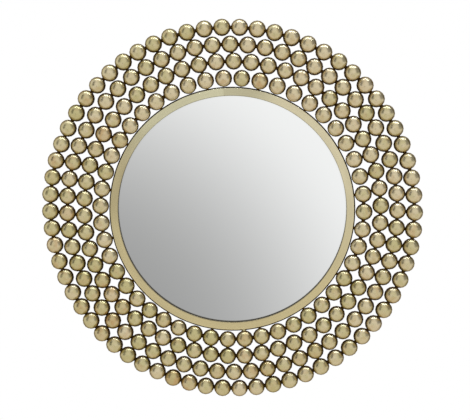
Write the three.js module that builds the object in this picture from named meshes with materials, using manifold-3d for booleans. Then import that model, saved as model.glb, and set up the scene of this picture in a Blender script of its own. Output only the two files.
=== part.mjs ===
// A round wall mirror, 0.8 m across: a flat glass in a rebated steel ring, with four rows of
// hollow metal balls welded round it as an openwork surround.
//
// Millimetres. +Z is up, the glass faces -Y and the wall is at +Y. The origin is the middle of
// the backing board's rear face. Angles round the mirror are counted from +X, anticlockwise as
// seen from the front.

import * as THREE from 'three';
import { mergeVertices } from 'three/addons/utils/BufferGeometryUtils.js';
import Module from 'manifold-3d';

const wasm = await Module();
wasm.setup();

// ---------------------------------------------------------------- sizes

// Clearances
const seatGap = 0.3;              // between two pieces that rest on each other
const radialPlay = 0.8;           // round the glass and the board inside the ring's rebate
const holePlay = 0.3;             // round a screw in its hole

// The ring that carries everything
const sightRadius = 240;          // edge of the glass that shows
const faceWidth = 16.5;           // flat face seen round the glass
const sightDepth = 8;             // thickness of the ring in front of the glass
const rearLegWidth = 6;           // the leg behind the face, outside the glass

// What lies in the rebate, front to rear
const gasketThickness = 1;
const gasketSetBack = 2.5;        // how far the gasket hides behind the sight edge
const glassThickness = 4;
const boardThickness = 6;

// The balls
const ballDiameter = 35.6;
const ballGap = 0.3;              // daylight between two balls where they touch
const ballSetBack = 1.5;          // ball centres behind the ring's face
const ringWeldGap = 2.7;          // between the ring and the innermost balls
const rowNesting = 0.8;           // how far the rows are pressed into each other
const outOfRound = 1.6;           // the hand-built outer row is this much off a circle
const longAxis = 133;             // degrees, where that row is widest
const chainWeldRadius = 4;        // weld between two balls of a row
const ringWeldRadius = 2.2;       // weld between a ball and the ring
const ringWeldSetBack = 3.6;      // ring welds behind the ring's face
const ballsPerRingWeld = 3;       // every third ball is welded to the ring
const strandsPerRow = 6;          // each row is welded up from this many strands

// One line a row: slack is what a ball's share of the row has over touching, firstBall and
// widestAt are degrees. A row touches opposite widestAt and opens a little towards it.
const rows = [
  { name: 'outer', slack: 0.4, firstBall: 5.5, widestAt: 60 },
  { name: 'second', slack: 0.4, firstBall: 6.7, widestAt: 90 },
  { name: 'third', slack: 0.4, firstBall: 2.2, widestAt: 30 },
  { name: 'inner', slack: 1.05, firstBall: 8.5, widestAt: 60 },
];

// Turn buttons that hold the board in
const buttonCount = 6;
const firstButtonAngle = 30;
const buttonLength = 27;
const buttonWidth = 7;
const buttonThickness = 1.5;

// Screws
const screwDiameter = 3;
const screwHeadDiameter = 6;
const screwHeadHeight = 2;
const ringScrewLength = 9;        // below the head
const boardScrewLength = 6;
const holeExtraDepth = 1;

// Hangers
const hangerSpread = 90;          // each side of the middle
const hangerHeight = 170;         // hinge line above the middle
const strapWidth = 12;
const strapLength = 34;           // from the hinge line to the lower end
const strapThickness = 1.2;
const upperScrewDrop = 9;
const lowerScrewDrop = 26;
const wireDiameter = 3;
const knucklePlay = 0.3;
const ringHalfWidth = 10;         // of the D-ring, to the middle of its wire
const ringStraightDrop = 6;
const wireSplit = 0.5;            // the wire's two ends meet in the knuckle with this gap
const wireBend = 2;

// Bumpers
const bumperDiameter = 18;
const bumperThickness = 7;
const bumperRadius = 215;         // from the middle of the board
const bumperAngles = { upper_right: 45, upper_left: 135, lower_left: 225, lower_right: 315 };

// Facets
const ringFacets = 72;
const ballFacets = 8;
const gasketFacets = 48;
const screwFacets = 8;
const wireFacets = 6;
const wireSteps = 18;
const bumperFacets = 12;

// ---------------------------------------------------------------- what follows from them

const ringOuterRadius = sightRadius + faceWidth;
const rebateRadius = ringOuterRadius - rearLegWidth;
const glassRadius = rebateRadius - radialPlay;

const boardFrontY = -boardThickness;
const glassRearY = boardFrontY - seatGap;
const glassFrontY = glassRearY - glassThickness;
const gasketRearY = glassFrontY - seatGap;
const gasketFrontY = gasketRearY - gasketThickness;
const rebateFloorY = gasketFrontY - seatGap;
const faceY = rebateFloorY - sightDepth;

const ballRadius = ballDiameter / 2;
const touching = ballDiameter + ballGap;
const ballY = faceY + ballSetBack;
const innerRowRadius = ringOuterRadius + ringWeldGap + ballRadius;
const rowSpacing = touching - rowNesting;
const screwRadius = screwDiameter / 2;
const holeRadius = screwRadius + holePlay;
const buttonPivotRadius = ringOuterRadius - rearLegWidth / 2;
const wireRadius = wireDiameter / 2;
const knuckleBore = wireRadius + knucklePlay;
const knuckleRadius = knuckleBore + strapThickness;
const hingeY = seatGap + knuckleRadius;

const radians = THREE.MathUtils.degToRad;

// ---------------------------------------------------------------- materials

const finish = (color, roughness, metalness) => (
  new THREE.MeshStandardMaterial({ color, roughness, metalness }));

const satinBrass = () => finish(0xbfb088, 0.42, 0.85);
const brushedBrass = () => finish(0xb9aa80, 0.4, 0.85);
const silvered = () => finish(0xd5d7d8, 0.04, 1);
const boardBrown = () => finish(0x8a6f52, 0.85, 0);
const foamBlack = () => finish(0x2a2a2a, 0.95, 0);
const zincPlate = () => finish(0xb8babd, 0.35, 0.9);
const rubberGrey = () => finish(0x3a3a3a, 0.9, 0);

// ---------------------------------------------------------------- helpers

// The merged geometry as a solid for cutting and joining.
function solidOf(geometry) {
  const bare = geometry.clone();
  bare.deleteAttribute('normal');
  bare.deleteAttribute('uv');
  const merged = mergeVertices(bare, 1e-4);
  return new wasm.Manifold(new wasm.Mesh({
    numProp: 3,
    vertProperties: new Float32Array(merged.attributes.position.array),
    triVerts: new Uint32Array(merged.index.array),
  }));
}

// A cut or joined solid back as a geometry.
function geometryOf(solid) {
  const mesh = solid.getMesh();
  const geometry = new THREE.BufferGeometry();
  geometry.setAttribute('position', new THREE.BufferAttribute(new Float32Array(mesh.vertProperties), 3));
  geometry.setIndex(new THREE.BufferAttribute(new Uint32Array(mesh.triVerts), 1));
  geometry.computeVertexNormals();
  return geometry;
}

const without = (geometry, tools) => geometryOf(
  tools.reduce((solid, tool) => solid.subtract(solidOf(tool)), solidOf(geometry)),
);
const joined = (geometry, others) => geometryOf(
  others.reduce((solid, other) => solid.add(solidOf(other)), solidOf(geometry)),
);

// A closed profile of [radius, y] points turned round the mirror's axis.
function turned(profile, facets) {
  const points = profile.map(([radius, y]) => new THREE.Vector2(radius, y));
  return new THREE.LatheGeometry(points, facets);
}

const disc = (radius, frontY, rearY, facets) => turned(
  [[0, frontY], [radius, frontY], [radius, rearY], [0, rearY]], facets,
);

// A flat outline, drawn in X and Z, as a plate from frontY back to rearY.
function plate(shape, frontY, rearY, curveSegments) {
  const geometry = new THREE.ExtrudeGeometry(shape, { depth: rearY - frontY, bevelEnabled: false, curveSegments });
  geometry.rotateX(Math.PI / 2);
  geometry.translate(0, rearY, 0);
  return geometry;
}

const aroundMirror = (radius, degrees, y = 0) =>
  new THREE.Vector3(radius * Math.cos(radians(degrees)), y, radius * Math.sin(radians(degrees)));

const part = new THREE.Group();

function place(name, geometry, material, position = new THREE.Vector3(), turn = 0) {
  const mesh = new THREE.Mesh(geometry, material);
  mesh.name = name;
  mesh.position.copy(position);
  mesh.rotation.y = -radians(turn);
  part.add(mesh);
}

// ---------------------------------------------------------------- ring, glass and board

const screwHole = (length) => disc(holeRadius, -length - holeExtraDepth, seatGap, screwFacets);

const buttonAngles = Array.from({ length: buttonCount }, (_, i) => firstButtonAngle + (i * 360) / buttonCount);
const pivots = buttonAngles.map((angle) => aroundMirror(buttonPivotRadius, angle));

function ringGeometry() {
  const ring = turned([
    [sightRadius, faceY],
    [ringOuterRadius, faceY],
    [ringOuterRadius, 0],
    [rebateRadius, 0],
    [rebateRadius, rebateFloorY],
    [sightRadius, rebateFloorY],
    [sightRadius, faceY],
  ], ringFacets);
  const depth = ringScrewLength - buttonThickness - 2 * seatGap;
  return without(ring, pivots.map((at) => screwHole(depth).translate(at.x, 0, at.z)));
}

function gasketGeometry() {
  const inner = sightRadius + gasketSetBack;
  return turned([
    [inner, gasketFrontY],
    [glassRadius, gasketFrontY],
    [glassRadius, gasketRearY],
    [inner, gasketRearY],
    [inner, gasketFrontY],
  ], gasketFacets);
}

const hangerSides = { left: -1, right: 1 };
const screwDrops = { upper: upperScrewDrop, lower: lowerScrewDrop };
const strapScrewPlaces = Object.values(hangerSides).flatMap((side) =>
  Object.values(screwDrops).map((drop) => [side * hangerSpread, hangerHeight - drop]));

function boardGeometry() {
  const depth = boardScrewLength - strapThickness - 2 * seatGap;
  const board = disc(glassRadius, boardFrontY, 0, ringFacets);
  return without(board, strapScrewPlaces.map(([x, z]) => screwHole(depth).translate(x, 0, z)));
}

place('frame_ring', ringGeometry(), brushedBrass());
place('glass_gasket', gasketGeometry(), foamBlack());
place('mirror_glass', disc(glassRadius, glassFrontY, glassRearY, ringFacets), silvered());
place('backing_board', boardGeometry(), boardBrown());

// ---------------------------------------------------------------- the balls

// Where a row's balls lie before the rows are pressed together, as [x, z]. The step from ball
// to ball follows even + opening * sin(even - widest), which is tightest opposite the widest
// place, where the balls just touch.
function rowCentres(row, index) {
  const stepsOut = rows.length - 1 - index;
  const radius = innerRowRadius + stepsOut * rowSpacing;
  const count = Math.floor((2 * Math.PI * radius) / (touching + row.slack));
  const evenPitch = 2 * radius * Math.sin(Math.PI / count);
  const opening = 1 - touching / evenPitch;
  const oval = (outOfRound * stepsOut) / (rows.length - 1);
  return Array.from({ length: count }, (_, i) => {
    const even = radians(row.firstBall) + (i * 2 * Math.PI) / count;
    const angle = even + opening * Math.sin(even - radians(row.widestAt));
    const reach = radius + oval * Math.cos(2 * (angle - radians(longAxis)));
    return [reach * Math.cos(angle), reach * Math.sin(angle)];
  });
}

// Pressing the rows together: wherever two balls come closer than touching, both give way by
// half, and the innermost row stays at its distance from the ring.
function pressTogether(balls) {
  const rounds = 400;
  for (let round = 0; round < rounds; round += 1) {
    const moves = balls.map(() => [0, 0]);
    for (let i = 0; i < balls.length; i += 1) {
      for (let j = i + 1; j < balls.length; j += 1) {
        const dx = balls[i].x - balls[j].x;
        const dz = balls[i].z - balls[j].z;
        const distance = Math.hypot(dx, dz);
        if (distance >= touching) continue;
        const share = (touching - distance) / (2 * distance);
        moves[i][0] += share * dx;
        moves[i][1] += share * dz;
        moves[j][0] -= share * dx;
        moves[j][1] -= share * dz;
      }
    }
    balls.forEach((ball, i) => {
      ball.x += moves[i][0];
      ball.z += moves[i][1];
      if (!ball.onRing) return;
      const back = innerRowRadius / Math.hypot(ball.x, ball.z);
      ball.x *= back;
      ball.z *= back;
    });
  }
}

function layBalls() {
  const balls = rows.flatMap((row, index) => rowCentres(row, index).map(([x, z]) => ({
    row: row.name, onRing: index === rows.length - 1, x, z,
  })));
  pressTogether(balls);
  return balls;
}

// A strand of welded balls as one skin: each ball has a ring of points at its middle and one
// half way to each neighbour, every weld has one ring, and the two ends close on a pole.
function strandGeometry(centres) {
  const positions = [];
  const index = [];
  const ringStarts = [];
  const depthwise = new THREE.Vector3(0, 1, 0);

  const addRing = (centre, along, radius) => {
    ringStarts.push(positions.length / 3);
    const sideways = new THREE.Vector3().crossVectors(depthwise, along).normalize();
    for (let k = 0; k < ballFacets; k += 1) {
      const turn = (k * 2 * Math.PI) / ballFacets;
      const point = centre.clone()
        .addScaledVector(sideways, radius * Math.cos(turn))
        .addScaledVector(depthwise, radius * Math.sin(turn));
      positions.push(point.x, point.y, point.z);
    }
  };
  const addPole = (point) => {
    positions.push(point.x, point.y, point.z);
    return positions.length / 3 - 1;
  };

  const steps = centres.slice(1).map((centre, i) => centre.clone().sub(centres[i]).normalize());
  const diagonal = ballRadius * Math.SQRT1_2;
  const last = centres.length - 1;
  const firstPole = addPole(centres[0].clone().addScaledVector(steps[0], -ballRadius));
  centres.forEach((centre, i) => {
    const before = steps[Math.max(i - 1, 0)];
    const after = steps[Math.min(i, last - 1)];
    addRing(centre.clone().addScaledVector(before, -diagonal), before, diagonal);
    addRing(centre, before.clone().add(after).normalize(), ballRadius);
    addRing(centre.clone().addScaledVector(after, diagonal), after, diagonal);
    if (i < last) addRing(centre.clone().lerp(centres[i + 1], 0.5), after, chainWeldRadius);
  });
  const lastPole = addPole(centres[last].clone().addScaledVector(steps[last - 1], ballRadius));

  for (let k = 0; k < ballFacets; k += 1) {
    const next = (k + 1) % ballFacets;
    index.push(firstPole, ringStarts[0] + next, ringStarts[0] + k);
    for (let r = 1; r < ringStarts.length; r += 1) {
      const [a, b] = [ringStarts[r - 1], ringStarts[r]];
      index.push(a + k, a + next, b + next, a + k, b + next, b + k);
    }
    const end = ringStarts[ringStarts.length - 1];
    index.push(lastPole, end + k, end + next);
  }
  const geometry = new THREE.BufferGeometry();
  geometry.setAttribute('position', new THREE.Float32BufferAttribute(positions, 3));
  geometry.setIndex(index);
  geometry.computeVertexNormals();
  return geometry;
}

// The weld from an innermost ball's middle to just short of the ring.
function ringWeld(ball) {
  const degrees = THREE.MathUtils.radToDeg(Math.atan2(ball.z, ball.x));
  const start = ringOuterRadius + seatGap;
  const length = innerRowRadius - start;
  const weld = new THREE.CylinderGeometry(ringWeldRadius, ringWeldRadius, length, screwFacets);
  weld.rotateZ(Math.PI / 2);
  weld.translate(start + length / 2, faceY + ringWeldSetBack, 0);
  weld.rotateY(-radians(degrees));
  return weld;
}

function placeStrands() {
  const balls = layBalls();
  rows.forEach((row) => {
    const own = balls.filter((ball) => ball.row === row.name);
    for (let s = 0; s < strandsPerRow; s += 1) {
      const from = Math.floor((s * own.length) / strandsPerRow);
      const to = Math.floor(((s + 1) * own.length) / strandsPerRow);
      const strand = own.slice(from, to);
      let geometry = strandGeometry(strand.map((ball) => new THREE.Vector3(ball.x, ballY, ball.z)));
      const welded = strand.filter((ball, i) => ball.onRing && (from + i) % ballsPerRingWeld === 0);
      if (welded.length > 0) geometry = joined(geometry, welded.map(ringWeld));
      place(`ball_strand_${row.name}_${s + 1}`, geometry, satinBrass());
    }
  });
}

placeStrands();

// ---------------------------------------------------------------- screws

// A domed screw whose head rests at headY and whose shank runs towards the front.
function screwGeometry(length, headY) {
  return turned([
    [0, headY - length],
    [screwRadius, headY - length],
    [screwRadius, headY],
    [screwHeadDiameter / 2, headY],
    [screwHeadDiameter / 4, headY + screwHeadHeight],
    [0, headY + screwHeadHeight],
  ], screwFacets);
}

// ---------------------------------------------------------------- turn buttons

// A plate with round ends. Its screw is at the origin and its arm points to the middle.
function buttonGeometry() {
  const half = buttonWidth / 2;
  const reach = buttonLength - buttonWidth;
  const outline = new THREE.Shape();
  outline.absarc(0, 0, half, -Math.PI / 2, Math.PI / 2, false);
  outline.absarc(-reach, 0, half, Math.PI / 2, (3 * Math.PI) / 2, false);
  outline.closePath();
  const hole = new THREE.Path();
  hole.absarc(0, 0, holeRadius, 0, 2 * Math.PI, true);
  outline.holes.push(hole);
  return plate(outline, seatGap, seatGap + buttonThickness, screwFacets / 2);
}

const buttonRearY = seatGap + buttonThickness;

pivots.forEach((pivot, i) => {
  place(`turn_button_${i + 1}`, buttonGeometry(), zincPlate(), pivot, buttonAngles[i]);
  place(`turn_button_screw_${i + 1}`, screwGeometry(ringScrewLength, buttonRearY + seatGap), zincPlate(), pivot);
});

// ---------------------------------------------------------------- hangers

// A strip rolled round the D-ring's wire at its top, seen from the side and then widened.
function strapGeometry() {
  const frontY = seatGap - hingeY;
  const rearY = frontY + strapThickness;
  const meet = Math.acos(rearY / knuckleRadius);
  const profile = new THREE.Shape();
  profile.moveTo(frontY, -strapLength);
  profile.lineTo(frontY, 0);
  profile.absarc(0, 0, knuckleRadius, Math.PI, -meet, true);
  profile.lineTo(rearY, -strapLength);
  profile.closePath();
  const bore = new THREE.Path();
  bore.absarc(0, 0, knuckleBore, 0, 2 * Math.PI, false);
  profile.holes.push(bore);
  const strap = new THREE.ExtrudeGeometry(profile, { depth: strapWidth, bevelEnabled: false, curveSegments: 5 });
  // the profile's X is the mirror's Y and the profile's Y its Z
  strap.applyMatrix4(new THREE.Matrix4().makeBasis(
    new THREE.Vector3(0, 1, 0), new THREE.Vector3(0, 0, 1), new THREE.Vector3(1, 0, 0),
  ));
  strap.translate(-strapWidth / 2, 0, 0);
  const holes = Object.values(screwDrops).map((drop) =>
    disc(holeRadius, frontY - seatGap, rearY + seatGap, screwFacets).translate(0, 0, -drop));
  return without(strap, holes);
}

// The D-ring's wire: from the split in the knuckle out, round the bow and back.
function dRingGeometry() {
  const side = ringHalfWidth;
  const corner = side - wireBend;
  const bowTurns = [0, 30, 60, 90, 120, 150, 180];
  const wire = new THREE.CatmullRomCurve3([
    [wireSplit / 2, 0],
    [corner, 0],
    [side, -wireBend],
    ...bowTurns.map((turn) => [
      side * Math.cos(radians(turn)), -ringStraightDrop - side * Math.sin(radians(turn)),
    ]),
    [-side, -wireBend],
    [-corner, 0],
    [-wireSplit / 2, 0],
  ].map(([x, z]) => new THREE.Vector3(x, 0, z)), false, 'centripetal');
  const section = new THREE.Shape();
  section.absarc(0, 0, wireRadius, 0, 2 * Math.PI, false);
  return new THREE.ExtrudeGeometry(section, {
    extrudePath: wire, steps: wireSteps, curveSegments: wireFacets / 2, bevelEnabled: false,
  });
}

Object.entries(hangerSides).forEach(([name, side]) => {
  const hinge = new THREE.Vector3(side * hangerSpread, hingeY, hangerHeight);
  place(`hanger_strap_${name}`, strapGeometry(), zincPlate(), hinge);
  place(`d_ring_${name}`, dRingGeometry(), zincPlate(), hinge);
  Object.entries(screwDrops).forEach(([end, drop]) => {
    const at = new THREE.Vector3(hinge.x, 0, hangerHeight - drop);
    const headY = seatGap + strapThickness + seatGap;
    place(`hanger_screw_${name}_${end}`, screwGeometry(boardScrewLength, headY), zincPlate(), at);
  });
});

// ---------------------------------------------------------------- wall bumpers

Object.entries(bumperAngles).forEach(([name, angle]) => {
  const bumper = disc(bumperDiameter / 2, seatGap, seatGap + bumperThickness, bumperFacets);
  place(`wall_bumper_${name}`, bumper, rubberGrey(), aroundMirror(bumperRadius, angle));
});

export default part;
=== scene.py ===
"""Looks for a round wall mirror: a flat glass in a rebated metal ring, with four rows of hollow
metal balls welded round it as an openwork surround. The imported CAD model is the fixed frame.

Everything is in metres. The glass faces -Y, the wall is at +Y and +Z is up. Angles round the
mirror are counted from +X, anticlockwise as seen from the front."""

import math

import bpy
import numpy as np
from bpy.props import FloatProperty, FloatVectorProperty, IntProperty, PointerProperty
from mathutils import Matrix, Vector


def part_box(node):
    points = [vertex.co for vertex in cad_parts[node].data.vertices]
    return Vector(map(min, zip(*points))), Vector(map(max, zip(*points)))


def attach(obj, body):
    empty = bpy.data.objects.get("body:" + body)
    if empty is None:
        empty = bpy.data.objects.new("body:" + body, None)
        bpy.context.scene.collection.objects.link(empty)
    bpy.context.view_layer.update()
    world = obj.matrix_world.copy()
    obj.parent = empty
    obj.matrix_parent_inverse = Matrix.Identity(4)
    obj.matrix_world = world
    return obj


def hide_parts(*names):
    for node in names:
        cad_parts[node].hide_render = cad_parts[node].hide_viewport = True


bl_info = {
    "name": "Round Mirror with Ball Surround",
    "version": (1, 0, 0),
    "blender": (4, 5, 0),
    "location": "3D View > Sidebar > Round Mirror",
    "description": "Balls, ring, glass, rear fittings and studio of a round wall mirror",
    "category": "Add Mesh",
}

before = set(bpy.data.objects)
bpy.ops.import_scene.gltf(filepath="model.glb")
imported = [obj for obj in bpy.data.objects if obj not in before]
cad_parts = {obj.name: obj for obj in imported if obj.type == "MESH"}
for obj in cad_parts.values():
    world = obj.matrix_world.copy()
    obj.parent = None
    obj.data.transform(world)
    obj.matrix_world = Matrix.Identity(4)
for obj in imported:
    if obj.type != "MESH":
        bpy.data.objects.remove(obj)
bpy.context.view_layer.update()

MM = 0.001
FULL_TURN = 2 * math.pi

ring_low, ring_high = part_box("frame_ring")
board_low, board_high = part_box("backing_board")
button_low, button_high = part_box("turn_button_1")
bumper_low, bumper_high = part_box("wall_bumper_upper_right")


# ------------------------------------------------------------------ sizes and colours


def length(name, description, default):
    """A length, shown in the scene's unit."""
    return FloatProperty(name=name, description=description, default=default, unit="LENGTH", precision=5)


def turn(name, description, degrees):
    """An angle, shown in degrees."""
    return FloatProperty(name=name, description=description, default=math.radians(degrees), unit="ROTATION")


def colour(name, description, default):
    """A colour, in linear light."""
    return FloatVectorProperty(
        name=name, description=description, default=default, min=0, max=1, size=3, subtype="COLOR"
    )


class BallSurround(bpy.types.PropertyGroup):
    diameter: length("Ball diameter", "Outside diameter of every ball", 35.6 * MM)
    gap: length("Gap", "Daylight between two balls where they touch", 0.3 * MM)
    set_back: length("Set back", "Ball centres behind the ring's face", 1.5 * MM)
    ring_gap: length("Ring gap", "Between the ring and the innermost balls", 2.7 * MM)
    nesting: length("Nesting", "How far the rows are pressed into each other", 0.8 * MM)
    out_of_round: length("Out of round", "How far the outermost row is off a circle", 1.6 * MM)
    long_axis: turn("Long axis", "Where the outermost row is widest", 133)
    strands: IntProperty(name="Strands", description="Strands that a row is welded up from", default=6, min=1)
    balls_per_ring_weld: IntProperty(
        name="Balls per ring weld",
        description="One inner ball in this many is welded to the ring", default=3, min=1,
    )
    weld_radius: length("Weld radius", "Neck of a weld between two balls", 3.9 * MM)
    weld_reach: length("Weld reach", "A weld bridges up to this much more than the gap", 1.7 * MM)
    seed: IntProperty(name="Seed", description="Starts the draws of each ball's own tone", default=7)
    champagne: colour("Champagne", "Plating of most balls", (0.70, 0.60, 0.395))
    olive: colour("Olive", "Plating of the greener balls", (0.55, 0.49, 0.24))
    copper: colour("Copper", "Plating of the few reddish balls", (0.545, 0.36, 0.16))
    # Browning round a weld: partly real tint, partly painted shade where the balls meet.
    heat_and_shade_tint: colour("Heat tint", "Browned metal round a weld", (0.085, 0.036, 0.004))
    weld_metal: colour("Weld metal", "Brazing in the joints", (0.085, 0.037, 0.004))
    # Painted shade: a dark belt round each ball, between its neighbours.
    belt_shade: colour("Bath skin", "Plating that isn't polished, between the balls", (0.080, 0.036, 0.003))


class GlassRing(bpy.types.PropertyGroup):
    outer_radius: length("Outer radius", "Outside of the ring", ring_high.x)
    face_width: length("Face width", "Flat face seen round the glass", 16.5 * MM)
    leg_width: length("Leg width", "Leg behind the face, outside the glass", 6 * MM)
    floor_depth: length("Rebate floor", "Rear of the face, in front of the board's rear", 11.9 * MM)
    arris: length("Arris", "Rounding of the ring's edges", 0.7 * MM)
    seam: turn("Seam", "Where the rolled bar's two ends are welded", 94)
    # Paler towards the upper right: a painted highlight of the brushed sheen.
    brass: colour("Brushed brass", "Ring at its lower left", (0.79, 0.672, 0.37))
    pale: colour("Pale brass", "Ring at its upper right", (0.93, 0.84, 0.57))
    greenish: colour("Greenish brass", "Ring round its top left", (0.80, 0.79, 0.53))
    # Dull brass is the streaks' and clouds' own colour, and also painted shade at the ring's left.
    dull: colour("Dull brass", "Ring in its darker streaks and clouds", (0.36, 0.31, 0.18))
    # Painted shade on the ring's walls and along the glass opening's edge.
    wall_shade: colour("Unbrushed brass", "Ring's walls, which the brush misses", (0.06, 0.046, 0.022))
    # Painted shade: the bead is almost black, where the gap between the ring and the balls is in shade.
    gap_shade: colour("Flux", "Burnt flux on the bead", (0.012, 0.008, 0.004))
    bead: length("Bead", "Dark brazing that runs along the ring's outer wall", 2.2 * MM)
    silver: colour("Silver", "Mirror layer of the glass", (0.93, 0.94, 0.935))


class RearFittings(bpy.types.PropertyGroup):
    board_arris: length("Board arris", "Rounding of the board's edge", 0.5 * MM)
    screw_radius: length("Screw radius", "Shank of every screw", 1.5 * MM)
    head_radius: length("Head radius", "Head of every screw", 3 * MM)
    head_height: length("Head height", "Head of every screw", 2 * MM)
    wire_radius: length("Wire radius", "Wire of the hanging rings", 1.5 * MM)
    wire_half_width: length("Ring half width", "Middle of a hanging ring to its wire", 10 * MM)
    board: colour("Fibreboard", "Backing board", (0.30, 0.175, 0.085))
    zinc: colour("Zinc", "Plating of clips, straps and screws", (0.62, 0.63, 0.64))
    rubber: colour("Rubber", "Wall bumpers", (0.035, 0.034, 0.033))
    foam: colour("Foam", "Tape between the ring and the glass", (0.012, 0.012, 0.012))


class Studio(bpy.types.PropertyGroup):
    distance: length("Camera distance", "Camera to the middle of the mirror", 4.25)
    elevation: turn("Camera elevation", "Camera above the mirror's middle", 7.7)
    azimuth: turn("Camera azimuth", "Camera to the right of straight on", 1.8)
    lens: FloatProperty(name="Lens", description="Focal length", default=155, unit="CAMERA")
    floor_drop: length("Floor drop", "Floor below the mirror's middle", 1.5)
    floor_radius: length("Floor radius", "Radius of the floor", 5.5)
    brightness: FloatProperty(name="Brightness", description="Level of the studio's light", default=0.94)
    strip: FloatProperty(name="Strip light", description="Power of the lamp", default=65, unit="POWER")


# ------------------------------------------------------------------ node maths

# Sockets of a colour Mix node, which share their names with those of its other data types
MIX_FACTOR, MIX_FIRST, MIX_SECOND, MIX_COLOUR = 0, 6, 7, 2


class Wire:
    """An output of a node tree. Python's operators on it add Math nodes, also with a plain
    number on either side; node() adds a node of any other type."""

    def __init__(self, tree, socket=None):
        self.tree, self.socket = tree, socket

    def node(self, kind, settings=None, inputs=None, output=0):
        """A new node of that type: first its settings, then a value or a link for each input."""
        made = self.tree.nodes.new("ShaderNode" + kind)
        for name, value in (settings or {}).items():
            setattr(made, name, value)
        for name, value in (inputs or {}).items():
            if isinstance(value, Wire):
                self.tree.links.new(value.socket, made.inputs[name])
            else:
                made.inputs[name].default_value = value
        return Wire(self.tree, made.outputs[output] if len(made.outputs) else None)

    def also(self, output):
        """Another output of the same node."""
        return Wire(self.tree, self.socket.node.outputs[output])

    def maths(self, operation, *terms):
        """A Math node with those terms."""
        return self.node("Math", {"operation": operation}, dict(enumerate(terms)))

    def __add__(self, other):
        return self.maths("ADD", self, other)

    def __sub__(self, other):
        return self.maths("SUBTRACT", self, other)

    def __rsub__(self, other):
        return self.maths("SUBTRACT", other, self)

    def __mul__(self, other):
        return self.maths("MULTIPLY", self, other)

    def __truediv__(self, other):
        return self.maths("DIVIDE", self, other)

    def __pow__(self, other):
        return self.maths("POWER", self, other)

    __radd__, __rmul__ = __add__, __mul__

    def rising(self, low, high):
        """0 below low, 1 above high and a smooth S between them; falling where low > high."""
        limits = {"Value": self, "From Min": min(low, high), "From Max": max(low, high)}
        limits.update({"To Min": float(low > high), "To Max": float(low < high)})
        return self.node("MapRange", {"interpolation_type": "SMOOTHSTEP"}, limits)

    def past(self, origin, limits):
        """rising() between two limits that are counted from origin."""
        return self.rising(origin + limits[0], origin + limits[1])

    def mix(self, first, second):
        """The colour first where this is 0 and second where it is 1."""
        first, second = (tint if isinstance(tint, Wire) else (*tint, 1) for tint in (first, second))
        inputs = {MIX_FACTOR: self, MIX_FIRST: first, MIX_SECOND: second}
        return self.node("Mix", {"data_type": "RGBA"}, inputs, MIX_COLOUR)

    def noise(self, where, scale, detail=2.0, roughness=0.5, kind="Noise", output=0):
        """A noise or Voronoi texture, with scale cells to the metre."""
        inputs = {"Vector": where, "Scale": scale}
        if kind == "Noise":
            inputs.update({"Detail": detail, "Roughness": roughness})
        return self.node("Tex" + kind, {}, inputs, output)


def new_material(name):
    """An empty node material and the start of its tree."""
    made = bpy.data.materials.new(name)
    made.use_nodes = True
    made.node_tree.nodes.clear()
    return made, Wire(made.node_tree)


def finish_surface(start, inputs):
    """Ends a material in one Principled shader with those inputs."""
    shader = start.node("BsdfPrincipled", {}, inputs)
    start.node("OutputMaterial", {}, {"Surface": shader})


def object_place(start):
    """The point's own place, in metres from the board's middle."""
    return start.node("TexCoord", {}, {}, "Object")


def axes(start, vector):
    """The three numbers of a place or a direction."""
    x = start.node("SeparateXYZ", {}, {"Vector": vector}, "X")
    return x, x.also("Y"), x.also("Z")


def attribute(start, name):
    """A number that the mesh carries at each point."""
    return start.node("Attribute", {"attribute_name": name}, {}, "Fac")


def times(tint, factor):
    """A colour made lighter or darker, at most white."""
    return tuple(min(1.0, factor * part) for part in tint)


def bump(start, height, strength, distance, under=None):
    """A normal tilted by a height map, over another bump where there is one."""
    inputs = {"Height": height, "Strength": strength, "Distance": distance}
    if under is not None:
        inputs["Normal"] = under
    return start.node("Bump", {}, inputs)


# ------------------------------------------------------------------ finishes

# The painted shade belt round a ball, between its neighbours, from the ball's middle: where it
# begins and where it is full, seen from the front and from behind
SHADE_BELT_FRONT = (-9.8 * MM, -5.8 * MM)
SHADE_BELT_BACK = (11 * MM, 5 * MM)
# Painted shade on the ring's walls: where it begins and where it is full, inside the glass
# opening's edge, inside the outer edge and behind the face, and along the opening's own edge
INNER_WALL = (0.9 * MM, 0.2 * MM)
OUTER_WALL = (-0.7 * MM, -0.1 * MM)
BEHIND_FACE = (0.4 * MM, 1.4 * MM)
OPENING_EDGE = (1.8 * MM, 0.7 * MM)
# How far past the ring's outer edge the bead's painted shade grows to full, and the band inside the opening
# over which the glass's haze grows
GAP_SHADE_EDGE = 0.5 * MM
HAZY_EDGE = 4 * MM


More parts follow.
